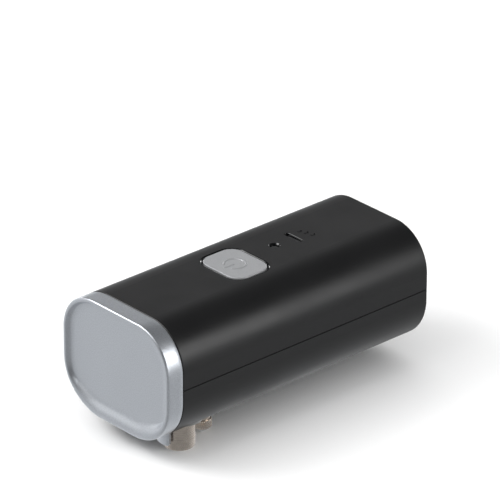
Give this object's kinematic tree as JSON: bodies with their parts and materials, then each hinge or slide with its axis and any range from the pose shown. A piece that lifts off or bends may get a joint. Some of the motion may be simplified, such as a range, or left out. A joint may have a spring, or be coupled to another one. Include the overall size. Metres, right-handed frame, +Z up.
{
  "type": "electric can opener",
  "caption": "Cordless one-touch can opener: long black housing with a dished silver nose, a square power key on top, and a drive wheel and cutting wheel under the nose.",
  "frame": {"origin": "centre of the whole opener's box in plan, at the level of the cutting wheel's foot, its lowest point", "axes": "+Z up through the power key, -Y towards the silver nose and the cutting head, +X to the side the cutting wheel is offset to"},
  "size_m": [0.08, 0.176, 0.0755],
  "materials": {
    "black_abs": "satin moulded",
    "silver_paint": "satin metallic lacquer",
    "grey_key": "satin moulded",
    "smoked_window": "clear smoked",
    "inner_plastic": "moulded",
    "white_acetal": "moulded",
    "steel": "machined",
    "stainless": "ground stainless",
    "zinc_plate": "zinc plated",
    "bronze": "sintered",
    "board_green": "solder mask",
    "component_black": "moulded",
    "cell_jacket": "printed film",
    "spring_steel": "nickel plated",
    "wire_red": "insulation",
    "wire_black": "insulation",
    "ferrite": "nickel plated magnet"
  },
  "bodies": {
    "housing": {"top_shell": "black_abs", "bottom_shell": "black_abs", "front_cap": "silver_paint", "cutter_guard": "silver_paint", "button_bezel": "black_abs", "indicator_lens": "smoked_window", "window_strip": "smoked_window", "battery_tray": "inner_plastic", "contact_plates": "spring_steel", "contact_springs": "spring_steel", "battery_cell_1": "cell_jacket", "battery_cell_2": "cell_jacket", "battery_cell_3": "cell_jacket", "battery_cell_4": "cell_jacket", "motor_case": "zinc_plate", "motor_end_bell": "inner_plastic", "motor_magnets": "ferrite", "motor_brushes": "component_black", "motor_bracket": "zinc_plate", "circuit_board": "board_green", "board_parts": "component_black", "power_switch": "component_black", "motor_leads": "wire_red", "battery_leads": "wire_black", "lower_plate": "zinc_plate", "upper_plate": "zinc_plate", "gearbox_posts": "steel", "gearbox_screws": "steel", "gear_axles": "steel", "shaft_bushes": "bronze", "housing_screws": "zinc_plate", "screw_plugs": "black_abs", "magnet_spring": "spring_steel", "button_spring": "spring_steel"},
    "button": {"power_button": "grey_key"},
    "door": {"battery_door": "black_abs"},
    "drive": {"output_gear": "steel", "drive_shaft": "steel", "drive_wheel": "stainless", "clutch_spring": "spring_steel"},
    "third": {"third_gear": "steel"},
    "second": {"second_gear": "white_acetal"},
    "first": {"first_gear": "white_acetal"},
    "rotor": {"motor_pinion": "bronze", "motor_shaft": "steel", "motor_armature": "steel", "commutator": "bronze"},
    "carrier": {"cutter_carrier": "steel", "carrier_gear": "steel"},
    "clutch": {"clutch_pinion": "steel"},
    "cutter": {"cutting_wheel": "stainless"},
    "magnet": {"magnet_holder": "black_abs", "lid_magnet": "ferrite"}
  },
  "joints": [
    {"name": "button_press", "type": "slide", "parent": "housing", "child": "button", "axis": [0, 0, -1], "range_m": [0, 0.0012], "stiffness_N_per_m": 400, "springref_m": -0.001, "deforming": ["button_spring"]},
    {"name": "door_slide", "type": "slide", "parent": "housing", "child": "door", "axis": [0, 1, 0], "range_m": [0, 0.058]},
    {"name": "motor_spin", "type": "hinge", "parent": "housing", "child": "rotor", "pos_m": [0, 0.012, 0.056], "axis": [0, 0, 1], "continuous": true},
    {"name": "first_gear_spin", "type": "hinge", "parent": "housing", "child": "first", "pos_m": [-0.00755, -0.0063, 0.05], "axis": [0, 0, 1], "continuous": true},
    {"name": "second_gear_spin", "type": "hinge", "parent": "housing", "child": "second", "pos_m": [0.00199, -0.02388, 0.038], "axis": [0, 0, 1], "continuous": true},
    {"name": "third_gear_spin", "type": "hinge", "parent": "housing", "child": "third", "pos_m": [-0.0082, -0.0445, 0.03], "axis": [0, 0, 1], "continuous": true},
    {"name": "drive_spin", "type": "hinge", "parent": "housing", "child": "drive", "pos_m": [0.0158, -0.0445, 0.005], "axis": [0, 0, 1], "continuous": true},
    {"name": "cutter_swing", "type": "hinge", "parent": "housing", "child": "carrier", "pos_m": [0.01895, -0.0607, 0.016], "axis": [0, 0, 1], "range_deg": [0, 180]},
    {"name": "clutch_slip", "type": "hinge", "parent": "housing", "child": "clutch", "pos_m": [0.0158, -0.0445, 0.023], "axis": [0, 0, 1], "range_deg": [-315, 0]},
    {"name": "cutting_wheel_spin", "type": "hinge", "parent": "carrier", "child": "cutter", "pos_m": [0.01935, -0.06276, 0.005], "axis": [0, 0, 1], "continuous": true},
    {"name": "magnet_float", "type": "slide", "parent": "housing", "child": "magnet", "axis": [0, 0, 1], "range_m": [0, 0.0015], "stiffness_N_per_m": 120, "springref_m": -0.002, "deforming": ["magnet_spring"]}
  ],
  "couplings": [
    {"joint": "first_gear_spin", "follows": "motor_spin", "ratio": -0.17857},
    {"joint": "second_gear_spin", "follows": "motor_spin", "ratio": 0.044643},
    {"joint": "third_gear_spin", "follows": "motor_spin", "ratio": -0.012401},
    {"joint": "drive_spin", "follows": "motor_spin", "ratio": 0.0041336},
    {"joint": "clutch_slip", "follows": "cutter_swing", "ratio": -1.75}
  ]
}
